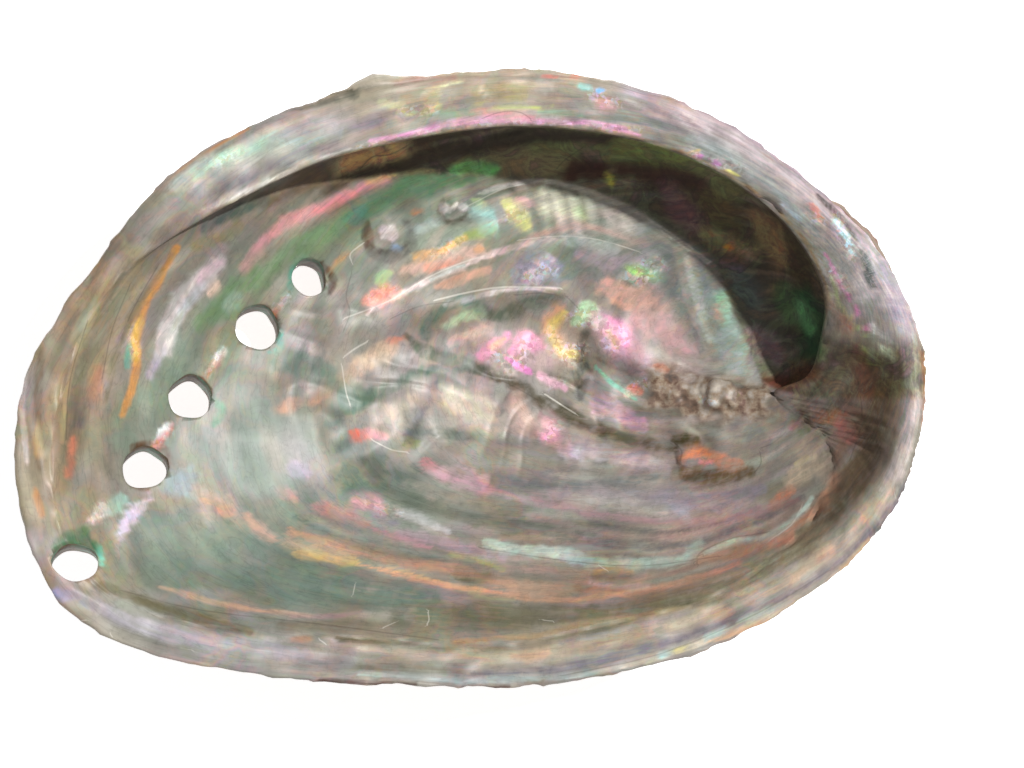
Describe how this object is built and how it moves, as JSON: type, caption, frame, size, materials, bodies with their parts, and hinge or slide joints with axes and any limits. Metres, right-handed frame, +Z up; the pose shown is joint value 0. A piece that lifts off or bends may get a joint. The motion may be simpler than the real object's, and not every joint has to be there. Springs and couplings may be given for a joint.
{
  "type": "abalone shell",
  "caption": "Empty abalone shell lying on its back, a shallow oval bowl lined with mother-of-pearl, with a flat inner lip, a hollow under it and a row of breathing holes.",
  "frame": {"origin": "under the middle of the outline, on the surface that the shell rests on", "axes": "+X towards the spire end, +Y towards the flat inner lip, +Z up out of the bowl"},
  "size_m": [0.1604, 0.1083, 0.041],
  "materials": {
    "nacre": "satin"
  },
  "bodies": {
    "root": {"shell": "nacre"}
  },
  "joints": []
}
